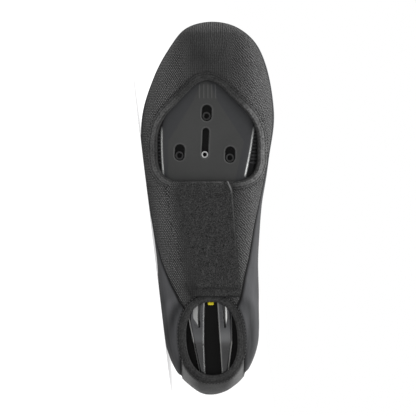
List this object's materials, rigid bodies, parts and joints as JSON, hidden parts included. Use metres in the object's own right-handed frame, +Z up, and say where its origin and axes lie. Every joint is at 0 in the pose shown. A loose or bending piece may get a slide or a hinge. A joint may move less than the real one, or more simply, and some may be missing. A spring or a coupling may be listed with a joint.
{
  "type": "cycling overshoe",
  "caption": "Close-fitting road-cycling overshoe lying on its side, open at the collar and cut out under the cleat and heel, with the stiff sole that it covers",
  "frame": {"origin": "bottom centre of the bounding box, on the floor that the overshoe lies on", "axes": "+X towards the heel, -Y out of the sole, +Y out of the collar, +Z up towards the inner side of the foot"},
  "size_m": [0.278, 0.1486, 0.1017],
  "materials": {
    "coated_fabric": "smooth coated knit, low sheen",
    "woven_fabric": "coarse matt weave",
    "loop_fabric": "brushed loop pile",
    "edge_tape": "matt folded tape",
    "sole_plastic": "satin moulded",
    "pad_plastic": "glossy moulded",
    "yellow_plastic": "satin",
    "bright_steel": "plain turned",
    "dark_steel": "black satin"
  },
  "bodies": {
    "root": {"upper": "coated_fabric", "underside_panel": "woven_fabric", "heel_panel": "coated_fabric", "cleat_tape": "edge_tape", "heel_tape": "edge_tape", "flap": "loop_fabric", "sole_plate": "sole_plastic", "heel_pad_lateral": "pad_plastic", "heel_pad_medial": "pad_plastic", "groove_inlay": "yellow_plastic", "centre_grommet": "bright_steel", "cleat_nut_front": "dark_steel", "cleat_nut_lateral": "dark_steel", "cleat_nut_medial": "dark_steel"}
  },
  "joints": []
}
